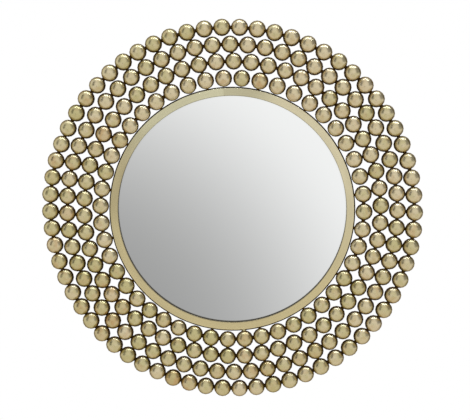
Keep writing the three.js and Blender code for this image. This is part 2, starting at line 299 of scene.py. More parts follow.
def champagne_plating(look):
    """Satin champagne plating on the balls. tone picks each ball's own shade, copper the reddish
    ones and weld is the brazing itself. Round each weld the metal has a browning that is partly
    real tint and partly painted shade where the balls meet. A dark belt round each ball, between
    its neighbours, is painted shade, as strong as the mesh's share for it at each point."""
    made, start = new_material("champagne_plating")
    place = object_place(start)
    depth = axes(start, place)[1]
    middle = ring_low.y + look.set_back
    # Painted shade: a dark belt round each ball, between its neighbours.
    painted_shade = attribute(start, "sheltered")
    for limits in (SHADE_BELT_FRONT, SHADE_BELT_BACK):
        painted_shade = painted_shade * depth.past(middle, limits)
    tone, copper = attribute(start, "tone"), attribute(start, "copper")
    heat, weld = attribute(start, "heat"), attribute(start, "weld")
    cloud = start.noise(place, 95, 2)
    fleck = start.noise(place, 520, 3, 0.6)
    shade = (tone + (cloud - 0.5) * 1.2 + (fleck - 0.5) * 0.35).rising(0.0, 1.0)
    base = shade.mix(look.olive, look.champagne)
    blush = start.noise(place, 70, 1, 0.5).rising(0.48, 0.70)
    reddish = (blush * 0.35 + copper * (0.3 + 0.9 * cloud)).rising(0.0, 1.0)
    base = reddish.mix(base, look.copper)
    # Browning round each weld: partly real tint, partly painted shade where the balls meet.
    browned_and_shaded = (heat * (0.75 + 0.5 * fleck)).rising(0.25, 1.0) * (1 - weld)
    base = browned_and_shaded.mix(base, look.heat_and_shade_tint)
    base = (weld * (0.5 + fleck)).rising(0.3, 0.9).mix(base, look.weld_metal)
    # The painted shade belt.
    base = (painted_shade * 0.95).mix(base, look.belt_shade)
    lumps = bump(start, cloud, 0.35, 0.6 * MM)
    surface = bump(start, fleck, 0.04, 0.12 * MM, lumps)
    roughness = 0.275 + 0.08 * fleck + 0.12 * browned_and_shaded + 0.30 * weld + 0.20 * painted_shade
    finish_surface(start, {
        "Base Color": base, "Metallic": 1.0, "Roughness": roughness, "Normal": surface,
        "Coat Weight": 0.35 * (1 - painted_shade) * (1 - weld), "Coat Roughness": 0.22, "Coat IOR": 1.45,
        "Specular Tint": (0.70, 0.47, 0.16, 1),
    })
    return made


def polar(start):
    """The place on the mirror: its distance from the axis, the two parts of the unit vector to
    it, across and up, and its depth along the axis between them."""
    x, y, z = axes(start, object_place(start))
    reach = (x * x + z * z) ** 0.5
    return reach, x / reach, y, z / reach


def brushed_brass(ring):
    """Brass brushed along the ring: noise that is long round the mirror and fine across it. It is
    paler towards the top right, a painted highlight of the brushed sheen, greener round its top
    left, greyer at the left as painted shade, and greyer beside the seam. Painted shade darkens the
    walls on both sides of the face and the opening's edge, and paints the bead almost black."""
    made, start = new_material("brushed_brass")
    reach, across, depth, up = polar(start)
    along = reach + 0.7 * depth

    def sector(degrees, inner, outer):
        """1 within inner degrees of that angle round the mirror, and 0 beyond outer."""
        angle = math.radians(degrees)
        toward = math.cos(angle) * across + math.sin(angle) * up
        return toward.rising(math.cos(math.radians(outer)), math.cos(math.radians(inner)))

    streak_at = start.node("CombineXYZ", {}, {"X": 2.4 * across, "Y": 900 * along, "Z": 2.4 * up})
    cloud_at = start.node("CombineXYZ", {}, {"X": 3.5 * across, "Y": 60 * along, "Z": 3.5 * up})
    streak = start.noise(streak_at, 1.0, 4, 0.65)
    cloud = start.noise(cloud_at, 1.0, 2)
    # Painted highlight: paler towards the upper right, as the brushed sheen.
    base = sector(65, 20, 115).mix(ring.brass, ring.pale)
    base = (0.7 * sector(112, 15, 50)).mix(base, ring.greenish)
    past_seam = math.cos(ring.seam) * up - math.sin(ring.seam) * across
    line = past_seam.rising(-0.004, 0.0) * past_seam.rising(0.004, 0.0)
    beside = sector(math.degrees(ring.seam) - 6, 4, 20) * past_seam.rising(0.003, -0.003) + 0.5 * line
    # The left sector is painted shade; streaks, clouds and the seam are the brass's own.
    shade = 0.20 * sector(163, 8, 32) + 0.17 * beside + 0.24 * (0.5 - streak) + 0.30 * (0.5 - cloud)
    base = shade.rising(-0.35, 0.75).mix(base, ring.dull)
    outer = ring.outer_radius
    opening = outer - ring.face_width
    # Painted shade on the walls behind the face and along the opening's edge.
    walls = reach.past(opening, INNER_WALL) + reach.past(outer, OUTER_WALL)
    recess_shade = depth.past(ring_low.y, BEHIND_FACE) * walls + 0.5 * reach.past(opening, OPENING_EDGE)
    base = recess_shade.rising(0.0, 1.0).mix(base, ring.wall_shade)
    # Painted shade: the bead almost black, where the gap to the balls is in shade.
    in_gap_shade = reach.rising(outer, outer + GAP_SHADE_EDGE)
    base = (0.85 * in_gap_shade).mix(base, ring.gap_shade)
    surface = bump(start, streak, 0.25, 0.08 * MM)
    finish_surface(start, {
        "Base Color": base, "Metallic": 1.0, "Roughness": 0.26 + 0.16 * streak + 0.25 * recess_shade,
        "Normal": surface, "Coat Weight": 0.15 * (1 - in_gap_shade), "Coat Roughness": 0.2,
    })
    return made


def silvered_glass(ring):
    """The silver layer seen through the glass: almost a perfect mirror, with a faint haze that
    grows at the very edge."""
    made, start = new_material("silvered_glass")
    opening = ring.outer_radius - ring.face_width
    edge = polar(start)[0].rising(opening - HAZY_EDGE, opening)
    haze = start.noise(object_place(start), 40, 3)
    base = (edge * (0.35 + 0.4 * haze)).mix(ring.silver, (0.80, 0.81, 0.78))
    finish_surface(start, {
        "Base Color": base, "Metallic": 1.0, "Roughness": 0.008 + 0.012 * haze + 0.05 * edge,
    })
    return made


def fibreboard(look):
    """Pressed fibreboard: a brown cloudy ground with pale and dark fibres lying every way."""
    made, start = new_material("fibreboard")
    place = object_place(start)
    cloud = start.noise(place, 18, 3)
    stir = start.noise(place, 240, 2, output="Color")
    stirred = start.node("VectorMath", {"operation": "ADD"}, {0: place, 1: stir})
    fibre = start.noise(stirred, 160, 4, 0.75)
    speck = start.noise(place, 900, 2)
    ground = (cloud * 0.4 + fibre * 0.6).rising(0.3, 0.7)
    base = ground.mix(times(look.board, 0.72), times(look.board, 1.35))
    base = speck.rising(0.66, 0.74).mix(base, (0.50, 0.36, 0.21))
    base = speck.rising(0.33, 0.27).mix(base, (0.10, 0.055, 0.03))
    finish_surface(start, {
        "Base Color": base, "Roughness": 0.72 + 0.16 * fibre,
        "Normal": bump(start, fibre * 0.7 + speck * 0.3, 0.35, 0.25 * MM),
    })
    return made


def zinc_plating(look):
    """Bright zinc with the faint crystal patches and the wiped bluish and yellowish tints of a
    barrel-plated fitting."""
    made, start = new_material("zinc_plating")
    place = object_place(start)
    crystal = start.noise(place, 420, kind="Voronoi", output="Color")
    patch = start.node("SeparateColor", {}, {"Color": crystal}, "Red")
    wipe = start.noise(place, 130, 3)
    grain = start.noise(place, 1400, 2)
    base = (0.5 * patch + 0.5 * wipe).rising(0.2, 0.8).mix(times(look.zinc, 0.84), look.zinc)
    base = (wipe.rising(0.55, 0.75) * 0.5).mix(base, (0.66, 0.63, 0.50))
    base = (wipe.rising(0.42, 0.28) * 0.4).mix(base, (0.50, 0.58, 0.68))
    finish_surface(start, {
        "Base Color": base, "Metallic": 1.0, "Roughness": 0.24 + 0.12 * patch + 0.08 * grain,
        "Normal": bump(start, grain, 0.12, 0.05 * MM),
    })
    return made


def bumper_rubber(look):
    """Matt rubber with a fine moulded grain and some dust rubbed into it."""
    made, start = new_material("bumper_rubber")
    place = object_place(start)
    grain = start.noise(place, 1500, 3)
    dust = start.noise(place, 110, 4, 0.6)
    base = dust.rising(0.45, 0.75).mix(look.rubber, times(look.rubber, 2.3))
    finish_surface(start, {
        "Base Color": base, "Roughness": 0.62 + 0.2 * dust, "Specular IOR Level": 0.4,
        "Normal": bump(start, grain, 0.3, 0.08 * MM),
    })
    return made


def cell_foam(look):
    """Closed-cell foam tape: small round cells under a soft skin."""
    made, start = new_material("cell_foam")
    place = object_place(start)
    cell = start.noise(place, 1100, kind="Voronoi")
    finish_surface(start, {
        "Base Color": cell.rising(0.1, 0.6).mix(look.foam, times(look.foam, 2.5)),
        "Roughness": 0.9 - 0.1 * cell, "Normal": bump(start, cell, 0.4, 0.2 * MM),
    })
    return made


# ------------------------------------------------------------------ surfaces


def grid_shell(points, normals=None, **values):
    """Quads between the rows and columns of a grid of points, or of a stack of such grids. A
    value is one number a point, or is spread over the points it lacks. Normals are given only
    where the surface is rounder than its faces."""
    rows, columns = points.shape[-3:-1]
    sheets = points.reshape(-1, rows, columns, 3)
    index = np.arange(rows * columns).reshape(rows, columns)
    quads = np.stack([index[:-1, :-1], index[1:, :-1], index[1:, 1:], index[:-1, 1:]], axis=-1).reshape(-1, 4)
    quads = quads + rows * columns * np.arange(len(sheets))[:, None, None]
    spread = {name: np.broadcast_to(value, points.shape[:-1]).ravel() for name, value in values.items()}
    normals = np.broadcast_to(0.0 if normals is None else normals, points.shape)
    return points.reshape(-1, 3), quads.reshape(-1, 4), normals.reshape(-1, 3), spread


def add_piece(name, shells, material, smooth_angle=None):
    """One mesh object from shells. Points that coincide become one, and a quad that loses a
    corner by it becomes a triangle, which closes every seam and pole."""
    all_points, all_quads, all_normals, all_values = zip(*shells)
    starts = np.cumsum([0] + [len(points) for points in all_points])
    quads = np.concatenate([quads + start for quads, start in zip(all_quads, starts)])
    points, first, index = np.unique(
        np.round(np.concatenate(all_points), 7), axis=0, return_index=True, return_inverse=True
    )
    corners = index.reshape(-1)[quads]
    kept = corners != np.roll(corners, -1, axis=1)
    whole = kept.sum(axis=1) > 2
    corners, kept = corners[whole], kept[whole]
    loops, sizes = corners[kept], kept.sum(axis=1)
    mesh = bpy.data.meshes.new(name)
    mesh.vertices.add(len(points))
    mesh.vertices.foreach_set("co", points.ravel())
    mesh.loops.add(len(loops))
    mesh.loops.foreach_set("vertex_index", loops)
    mesh.polygons.add(len(sizes))
    mesh.polygons.foreach_set("loop_start", np.cumsum(sizes) - sizes)
    mesh.update(calc_edges=True)
    mesh.shade_smooth()
    if smooth_angle is not None:
        mesh.set_sharp_from_angle(angle=math.radians(smooth_angle))
    for key in sorted({key for values in all_values for key in values}):
        column = [values.get(key, np.zeros(len(own))) for own, values in zip(all_points, all_values)]
        made = mesh.attributes.new(key, "FLOAT", "POINT")
        made.data.foreach_set("value", np.concatenate(column)[first].astype(np.float32))
    normals = np.concatenate(all_normals)[first]
    if normals.any():
        mesh.normals_split_custom_set_from_vertices(normals)
    mesh.materials.append(material)
    piece = bpy.data.objects.new(name, mesh)
    bpy.context.scene.collection.objects.link(piece)
    return piece


def stand_for(piece, body, slot, *nodes):
    """A piece rides on its body and replaces those CAD nodes. slot is not used."""
    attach(piece, body)
    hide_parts(*nodes)


def rounded(corners, radii, steps=4, support=0.12 * MM):
    """A closed outline with each corner turned into an arc. The arc's centre lies on the
    corner's bisector at radius / sin(half angle); a point more before and after it keeps the
    flats flat."""
    corners = np.array(corners, float)
    radii = np.broadcast_to(np.asarray(radii, float), len(corners))[:, None]
    back = np.roll(corners, 1, axis=0) - corners
    ahead = np.roll(corners, -1, axis=0) - corners
    back /= np.linalg.norm(back, axis=1, keepdims=True)
    ahead /= np.linalg.norm(ahead, axis=1, keepdims=True)
    half = np.arccos(np.clip((back * ahead).sum(axis=1, keepdims=True), -1, 1)) / 2
    reach = radii / np.tan(half)
    bisector = (back + ahead) / np.linalg.norm(back + ahead, axis=1, keepdims=True)
    centre = corners + bisector * radii / np.sin(half)
    start = (corners + back * reach - centre) / radii
    end = (corners + ahead * reach - centre) / radii
    sweep = (math.pi - 2 * half)[:, None]
    part = np.linspace(0, 1, steps + 1)[None, :, None]
    arc = (np.sin((1 - part) * sweep) * start[:, None] + np.sin(part * sweep) * end[:, None]) / np.sin(sweep)
    arc = centre[:, None] + radii[:, None] * arc
    before = (corners + back * (reach + support))[:, None]
    after = (corners + ahead * (reach + support))[:, None]
    outline = np.concatenate([before, arc, after], axis=1).reshape(-1, 2)
    return np.concatenate([outline, outline[:1]])


def turned(profile, steps, centre=(0, 0)):
    """A profile of (radius, y) turned round an axis along Y: x = radius * cos(a) and
    z = radius * sin(a), for a from a full turn down to 0. A profile that runs out along the
    front and back along the rear gives faces that point outwards."""
    angle = np.linspace(FULL_TURN, 0, steps + 1)[:, None]
    radius, y = np.asarray(profile, float).T
    x = centre[0] + radius * np.cos(angle)
    z = centre[1] + radius * np.sin(angle)
    return np.stack([x, np.broadcast_to(y, x.shape), z], axis=-1)


def carried(section, path, side, widths=None):
    """A section carried along a path: path + u * side + v * (tangent x side), where (u, v) is
    the section, and widths scales u along the way. The section is taken backwards, so that
    faces point outwards, and the ends shrink to a point, which closes them."""
    tangent = np.gradient(path, axis=0)
    tangent /= np.linalg.norm(tangent, axis=1, keepdims=True)
    over = np.cross(tangent, side)
    widths = np.ones(len(path)) if widths is None else widths
    u, v = section[::-1].T
    across = widths[:, None, None] * u[None, :, None] * np.asarray(side)
    sheet = path[:, None] + across + v[None, :, None] * over[:, None]
    ends = [np.repeat(path[[k]][:, None], len(section), axis=1) for k in (0, -1)]
    return np.concatenate([ends[0], sheet, ends[1]])


# ------------------------------------------------------------------ the balls

ROW_NAMES = ("outer", "second", "third", "inner")
# For each row: the least slack at a ball, the first ball's angle and where the gaps are widest
ROW_SLACKS = np.array((0.4, 0.4, 0.4, 1.05)) * MM
ROW_FIRST_BALLS = np.radians((5.5, 6.7, 2.2, 8.5))
ROW_WIDEST_AT = np.radians((60, 90, 30, 60))
PRESS_ROUNDS = 400
# Cells along each side of a ball's six faces, the largest ball and how the smaller ones spread
BALL_CELLS = 4
BALL_SWELL = 1.02
BALL_SPREAD = 0.014
# Each ball's tone and its copper: the mean, how much it leans to a side and to which, the spread
TONE = (0.55, 0.16, math.radians(50), 0.20)
COPPER = (-0.12, 0.20, math.radians(215), 0.26)
MOST_COPPER = 0.9
# A weld's sides, how far into the metal it closes in half gaps, how far its toe stands over its
# neck, and between two rows how much more than the gap it bridges and its share of the neck
WELD_SIDES = 10
WELD_ROOT = 2.9
WELD_FILLET = 1.2 * MM
CROSS_WELD_REACH = 0.5 * MM
CROSS_WELD_NECK = 0.85
# A weld on the ring: behind the ring's face, into the metal at both ends, and its neck and toe.
# The broad one is the one nearest that angle, and it has no dark brazing, browning or painted shade.
RING_WELD_DEPTH = 3.6 * MM
RING_WELD_SINK = 0.1 * MM
RING_WELD_NECK, RING_WELD_TOE = 2.4 * MM, 3.2 * MM
BROAD_WELD_NECK, BROAD_WELD_TOE = 4.2 * MM, 5.6 * MM
BROAD_WELD_ANGLE = math.radians(-85)
# How far round a ball a weld's browning and painted shade spread, and how sharply they fall
HEAT_AND_SHADE_SPREAD = math.radians(42)
HEAT_AND_SHADE_FALL = 1.5
# How much of the painted shade belt the outermost row loses on its outer side, where no neighbour is
OUTER_SIDE_UNSHADED = 0.85


def row_places(ball, row, touching, inner_radius):
    """A row's balls before the rows are pressed together. The step from ball to ball follows
    even + opening * sin(even - widest), and the row is radius + oval * cos(2 * (angle - axis))."""
    steps_out = len(ROW_NAMES) - 1 - row
    radius = inner_radius + steps_out * (touching - ball.nesting)
    count = math.floor(FULL_TURN * radius / (touching + ROW_SLACKS[row]))
    opening = 1 - touching / (2 * radius * math.sin(math.pi / count))
    even = ROW_FIRST_BALLS[row] + np.arange(count) * FULL_TURN / count
    angle = even + opening * np.sin(even - ROW_WIDEST_AT[row])
    oval = ball.out_of_round * steps_out / (len(ROW_NAMES) - 1)
    reach = radius + oval * np.cos(2 * (angle - ball.long_axis))
    return np.stack([reach * np.cos(angle), reach * np.sin(angle)], axis=1)


def press_together(places, innermost, touching, inner_radius):
    """Wherever two balls come closer than touching, both give way by half; after each round the
    innermost row goes back to its distance from the ring."""
    for press in range(PRESS_ROUNDS):
        apart = places[:, None] - places[None]
        distance = np.hypot(apart[..., 0], apart[..., 1])
        np.fill_diagonal(distance, touching)
        give = np.where(distance < touching, (touching - distance) / (2 * distance), 0)
        places = places + (give[..., None] * apart).sum(axis=1)
        reach = np.hypot(places[innermost, 0], places[innermost, 1])
        places[innermost] *= (inner_radius / reach)[:, None]
    return places


def lay_balls(ball, ring):
    """Every ball's x and z, its row and its index in the row."""
    touching = ball.diameter + ball.gap
    inner_radius = ring.outer_radius + ball.ring_gap + ball.diameter / 2
    rows = [row_places(ball, row, touching, inner_radius) for row in range(len(ROW_NAMES))]
    row = np.repeat(np.arange(len(rows)), [len(places) for places in rows])
    step = np.concatenate([np.arange(len(places)) for places in rows])
    places = press_together(np.concatenate(rows), row == len(rows) - 1, touching, inner_radius)
    return places, row, step


def unit_ball():
    """A ball as the six faces of a cube blown up: on each, tan(u * 45 deg), tan(v * 45 deg) and
    1 scaled to length 1, so that its squares come out nearly alike."""
    cut = np.tan(np.linspace(-1, 1, BALL_CELLS + 1) * math.pi / 4)
    u, v = np.meshgrid(cut, cut, indexing="ij")
    face = np.stack([u, v, np.ones_like(u)], axis=-1)
    face /= np.linalg.norm(face, axis=-1, keepdims=True)
    opposite = face * (-1, 1, -1)
    return np.stack([np.roll(side, k, axis=-1) for k in range(3) for side in (face, opposite)])


def find_contacts(places, reach):
    """Pairs of balls whose centres are closer than reach: both indices, and the distance."""
    apart = places[:, None] - places[None]
    distance = np.hypot(apart[..., 0], apart[..., 1])
    first, second = np.nonzero(np.triu(distance < reach, 1))
    return first, second, distance[first, second]


def weld_shells(middle, along, half_gap, neck, toe):
    """Welds as saddles turned about the line along each contact: the radius is
    neck + (toe - neck) * t^2 for t from -1 at one toe to 1 at the other, and both ends close on
    the axis inside the metal. Each argument has one row a weld. Also 1 - t^2, the brazing's
    share, which is 0 at the toes."""
    t = np.array([-WELD_ROOT, -1.0, -0.5, 0.0, 0.5, 1.0, WELD_ROOT])
    radius = (neck[:, None] + (toe - neck)[:, None] * t**2) * (np.abs(t) <= 1)
    angle = np.linspace(0, FULL_TURN, WELD_SIDES + 1)
    depthwise = np.array([0.0, 1.0, 0.0])
    side = np.cross(along, depthwise)
    spoke = np.cos(angle)[None, :, None] * depthwise + np.sin(angle)[None, :, None] * side[:, None]
    points = (
        middle[:, None, None]
        + (half_gap[:, None] * t)[:, None, :, None] * along[:, None, None]
        + radius[:, None, :, None] * spoke[:, :, None]
    )
    weld = 1 - np.minimum(1, np.abs(t)) ** 2
    return points, weld


def ball_tones(ball, places):
    """Each ball's own tone, its share of copper and its size. The plating is a little lighter
    towards the upper right, and the reddish balls are mostly at the lower left. Some balls have
    come out of the press a little small."""
    draw = np.random.default_rng(ball.seed)
    angle = np.arctan2(places[:, 1], places[:, 0])
    tone, copper = (
        draw.normal(mean + lean * np.cos(angle - toward), spread)
        for mean, lean, toward, spread in (TONE, COPPER)
    )
    small = np.clip(draw.normal(0, BALL_SPREAD, len(places)), 0, 2 * BALL_SPREAD)
    return tone, np.clip(copper, 0, MOST_COPPER), BALL_SWELL - small


def weld_balls(ball, centres, row):
    """Both balls of each weld, the way from the first to the second, and the welds' shell. Balls
    of a row are welded where they almost touch, and two rows where they press on each other. A
    toe lies on both balls: its half gap is distance / 2 - sqrt(radius^2 - toe^2)."""
    touching = ball.diameter + ball.gap
    first, second, distance = find_contacts(centres[:, ::2], touching + ball.weld_reach)
    same_row = row[first] == row[second]
    kept = same_row | (distance < touching + CROSS_WELD_REACH)
    first, second, distance, same_row = first[kept], second[kept], distance[kept], same_row[kept]
    along = (centres[second] - centres[first]) / distance[:, None]
    neck = np.where(same_row, 1.0, CROSS_WELD_NECK) * ball.weld_radius
    toe = neck + WELD_FILLET
    half_gap = distance / 2 - np.sqrt((ball.diameter / 2) ** 2 - toe**2)
    middle = (centres[first] + centres[second]) / 2
    return first, second, along, weld_shells(middle, along, half_gap, neck, toe)


def weld_to_ring(ball, ring, places, row, step):
    """The inner balls that are welded to the ring, which of them has the broad weld, the way from
    the ring to each, and the welds' shell."""
    inner = row == len(ROW_NAMES) - 1
    angle = np.arctan2(places[:, 1], places[:, 0])
    broad = np.argmin(np.where(inner, np.abs(angle - BROAD_WELD_ANGLE), FULL_TURN))
    welded = inner & (step % ball.balls_per_ring_weld == 0)
    welded[broad] = True
    on_ring = welded.nonzero()[0]
    is_broad = on_ring == broad
    from_ring = np.stack([np.cos(angle[on_ring]), np.zeros(len(on_ring)), np.sin(angle[on_ring])], axis=1)
    middle = from_ring * (ring.outer_radius + ball.ring_gap / 2) + (0, ring_low.y + RING_WELD_DEPTH, 0)
    half_gap = np.full(len(on_ring), ball.ring_gap / 2 + RING_WELD_SINK)
    neck = np.where(is_broad, BROAD_WELD_NECK, RING_WELD_NECK)
    toe = np.where(is_broad, BROAD_WELD_TOE, RING_WELD_TOE)
    return on_ring, is_broad, from_ring, weld_shells(middle, from_ring, half_gap, neck, toe)


def heat_and_shade_at(unit, count, touches):
    """The browning at each point of each ball, partly real tint and partly painted shade where the
    balls meet: 1 where a weld sits, falling with the cosine of the angle to 0 at its spread, to a
    power. touches gives balls and the way to their weld."""
    heat = np.zeros((count,) + unit.shape[:-1])
    limit = math.cos(HEAT_AND_SHADE_SPREAD)
    for index, toward in touches:
        facing = np.einsum("fuvk,nk->nfuv", unit, toward)
        np.maximum.at(heat, index, np.clip((facing - limit) / (1 - limit), 0, 1) ** HEAT_AND_SHADE_FALL)
    return heat


def painted_shade_points(unit, places, row):
    """How much of the painted shade belt each point of each ball takes: 1 - the outer side's share
    * cosine on the outer side of the outermost row, where no neighbour is, and 1 elsewhere."""
    outward = np.insert(places, 1, 0, axis=1) / np.hypot(*places.T)[:, None]
    outside = np.clip(np.einsum("fuvk,nk->nfuv", unit, outward), 0, 1)
    return 1 - OUTER_SIDE_UNSHADED * outside * (row == 0)[:, None, None, None]


def make_ball_strands(ball, ring):
    """Each row in strands of balls. A weld belongs to the strand of its first ball."""
    places, row, step = lay_balls(ball, ring)
    centres = np.insert(places, 1, ring_low.y + ball.set_back, axis=1)
    tone, copper, size = ball_tones(ball, places)
    strand = ((step + 1) * ball.strands - 1) // np.bincount(row)[row]
    first, second, along, ball_welds = weld_balls(ball, centres, row)
    on_ring, is_broad, from_ring, ring_welds = weld_to_ring(ball, ring, places, row, step)
    welds = ((ball_welds, first, np.ones(len(first))), (ring_welds, on_ring, 1.0 - is_broad))

    unit = unit_ball()
    touches = ((first, along), (second, -along), (on_ring, -from_ring))
    # Browning round the welds, partly painted shade where the balls meet, and each point's share of the
    # painted shade belt.
    heat = heat_and_shade_at(unit, len(places), touches)
    sheltered = painted_shade_points(unit, places, row)
    surfaces = centres[:, None, None, None] + ball.diameter / 2 * size[:, None, None, None, None] * unit

    plating = champagne_plating(ball)
    for row_index, row_name in enumerate(ROW_NAMES):
        for number in range(ball.strands):
            own = np.nonzero((row == row_index) & (strand == number))[0]
            shells = [grid_shell(
                surfaces[own], np.broadcast_to(unit, surfaces[own].shape),
                tone=tone[own][:, None, None, None], copper=copper[own][:, None, None, None],
                heat=heat[own], sheltered=sheltered[own],
            )]
            for (points, weld), owner, dark in welds:
                chosen = np.isin(owner, own)
                if chosen.any():
                    # A weld takes dark brazing, browning and the painted shade belt, except the broad one.
                    darkened_share = dark[chosen][:, None, None]
                    shells.append(grid_shell(
                        points[chosen], weld=weld * darkened_share, heat=darkened_share, sheltered=darkened_share,
                        tone=tone[owner[chosen]][:, None, None],
                    ))
            piece = add_piece(f"balls_{row_name}_{number + 1}", shells, plating)
            stand_for(piece, "mirror", "ball_finish", f"ball_strand_{row_name}_{number + 1}")


# ------------------------------------------------------------------ the ring and the glass

RING_STEPS = 288
# The bead's feet on the wall and its crest, behind the ring's face
BEAD_FEET = (1.8 * MM, 5.6 * MM)
BEAD_CREST = (3.0 * MM, 4.4 * MM)
# How round each corner of the section is, in arrises
RING_CORNERS = np.array([1, 1, 0.4, 0.9, 0.9, 0.4, 0.7, 0.5, 0.5, 0.5])


def make_ring(ring):
    """The ring's bar section turned round the mirror: a flat face, a leg behind it outside the
    glass, a bead along its outer wall that its finish paints almost black as the shade in the gap
    to the balls, and every edge a little rounded."""
    outer, inner = ring.outer_radius, ring.outer_radius - ring.face_width
    rebate, crest = outer - ring.leg_width, outer + ring.bead
    front, floor = ring_low.y, -ring.floor_depth
    corners = [
        (inner, front), (outer, front), (outer, front + BEAD_FEET[0]), (crest, front + BEAD_CREST[0]),
        (crest, front + BEAD_CREST[1]), (outer, front + BEAD_FEET[1]), (outer, 0), (rebate, 0),
        (rebate, floor), (inner, floor),
    ]
    profile = rounded(corners, RING_CORNERS * ring.arris)
    piece = add_piece("ring", [grid_shell(turned(profile, RING_STEPS))], brushed_brass(ring))
    stand_for(piece, "mirror", "ring_finish", "frame_ring")


def dress_glass(ring, rear):
    """The glass and the foam tape keep their CAD shapes and get their finishes."""
    for name, material in (("mirror_glass", silvered_glass(ring)), ("glass_gasket", cell_foam(rear))):
        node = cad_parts[name]
        node.data.materials.clear()
        node.data.materials.append(material)


# ------------------------------------------------------------------ the rear

BOARD_STEPS = 180
# A screw's cross recess in shares of the head's radius, its depth, and how much shallower it is
# at its ends
RECESS_HALF_WIDTH, RECESS_REACH = 0.12, 0.62
RECESS_DEPTH, RECESS_RISE = 1.2 * MM, 0.6
# The rings on a shank: how many, their grooves' share of its radius, and the plain ends
SHANK_RINGS, SHANK_GROOVE = 5, 0.86
SHANK_NECK, SHANK_TIP, SHANK_IN_HEAD = 0.4 * MM, 1.6 * MM, 0.2 * MM
# A turn button: half its width, its length from the screw, its edge's rounding, and its pressed
# channel as distances in from the edge and depths under the face
BUTTONS = 6
BUTTON_FIRST_ANGLE = math.radians(30)
BUTTON_HALF_WIDTH, BUTTON_LENGTH, BUTTON_EDGE = 3.5 * MM, 20 * MM, 0.45 * MM
CHANNEL_OFFSETS = np.array([3.5, 2.5, 2.1, 1.5, 1.15]) * MM
CHANNEL_DEPTHS = np.array([0.3, 0.3, 0.27, 0.03, 0]) * MM
BUTTON_SCREW, BUTTON_SCREW_LIFT, BUTTON_SCREW_TWIST = 9 * MM, 0.02 * MM, 0.7
# The hangers: their middle and hinge, the strap's sheet and knuckle, its ends and points below
# the hinge, and its screws' drop and twist, length and seat
HANGER_X, HINGE_Y, HINGE_Z = 90 * MM, 3.3 * MM, 170 * MM
STRAP_SHEET, STRAP_HALF_WIDTH, STRAP_ARRIS = 1.2 * MM, 6 * MM, 0.3 * MM
STRAP_OFF_BOARD, KNUCKLE, KNUCKLE_END = 0.3 * MM, 2.4 * MM, math.radians(-50)
STRAP_TAIL, STRAP_CROWDED, STRAP_STRAIGHT, STRAP_END_RADIUS = 34 * MM, 6 * MM, 26 * MM, 3.5 * MM
STRAP_SCREWS = (("upper", 9 * MM, 0.4), ("lower", 26 * MM, 1.1))
STRAP_SCREW, STRAP_SCREW_SEAT = 6 * MM, 1.52 * MM
# The hanging ring: the straight in the knuckle, its gap, its shoulders and its round bottom
WIRE_STRAIGHT, WIRE_GAP, WIRE_BEND, WIRE_DROP = 4 * MM, 0.25 * MM, 2.5 * MM, 6 * MM
# The wall bumpers: their circle and radius, their rim's inset and rounding, the wall's points
# inside the radius and off the board, and the face's inside the radius and under the top
BUMPER_CIRCLE, BUMPER_RADIUS, RIM_INSET, RIM = 215 * MM, 9 * MM, 0.5 * MM, 1.6 * MM
BUMPER_WALL = np.array([(9, 0), (0.4, 0), (0, 0.4), (0.1, 1)]) * MM
BUMPER_FACE = np.array([(3, 0.02), (4, 0.35), (9, 0.5)]) * MM


def make_board(rear):
    """A disc with its edge rounded in front and behind."""
    radius = board_high.x
    corners = [(0, board_low.y), (radius, board_low.y), (radius, board_high.y), (0, board_high.y)]
    outline = rounded(corners, rear.board_arris)
    rim = outline[len(outline) // 4:3 * len(outline) // 4]
    profile = np.concatenate([[corners[0]], rim, [corners[3]]])
    piece = add_piece("board", [grid_shell(turned(profile, BOARD_STEPS))], fibreboard(rear))
    stand_for(piece, "mirror", "board", "backing_board")


def stadium(long, half, offsets, heights, turn_angle, at, arc=10, straight=8):
    """A plate with round ends and its first end's centre at the origin, its other end towards
    -x: (seat + (half - offset) * cos(a), (half - offset) * sin(a)), where the seat runs along
    the middle line and a goes round each end. offset and height run over the plate's section."""
    sweep = np.linspace(-math.pi / 2, math.pi / 2, arc + 1)
    run = np.linspace(0, -long, straight + 1)[1:-1]
    seat = np.concatenate([np.zeros(arc + 1), run, np.full(arc + 1, -long), run[::-1], [0]])
    angle = np.concatenate([
        sweep, np.full(len(run), math.pi / 2), sweep + math.pi,
        np.full(len(run), 3 * math.pi / 2), [-math.pi / 2],
    ])
    reach = half - np.asarray(offsets)
    x = seat[:, None] + reach * np.cos(angle)[:, None]
    z = reach * np.sin(angle)[:, None]
    c, s = math.cos(turn_angle), math.sin(turn_angle)
    y = np.broadcast_to(heights, x.shape)
    return np.stack([at[0] + c * x - s * z, y, at[1] + s * x + c * z], axis=-1)


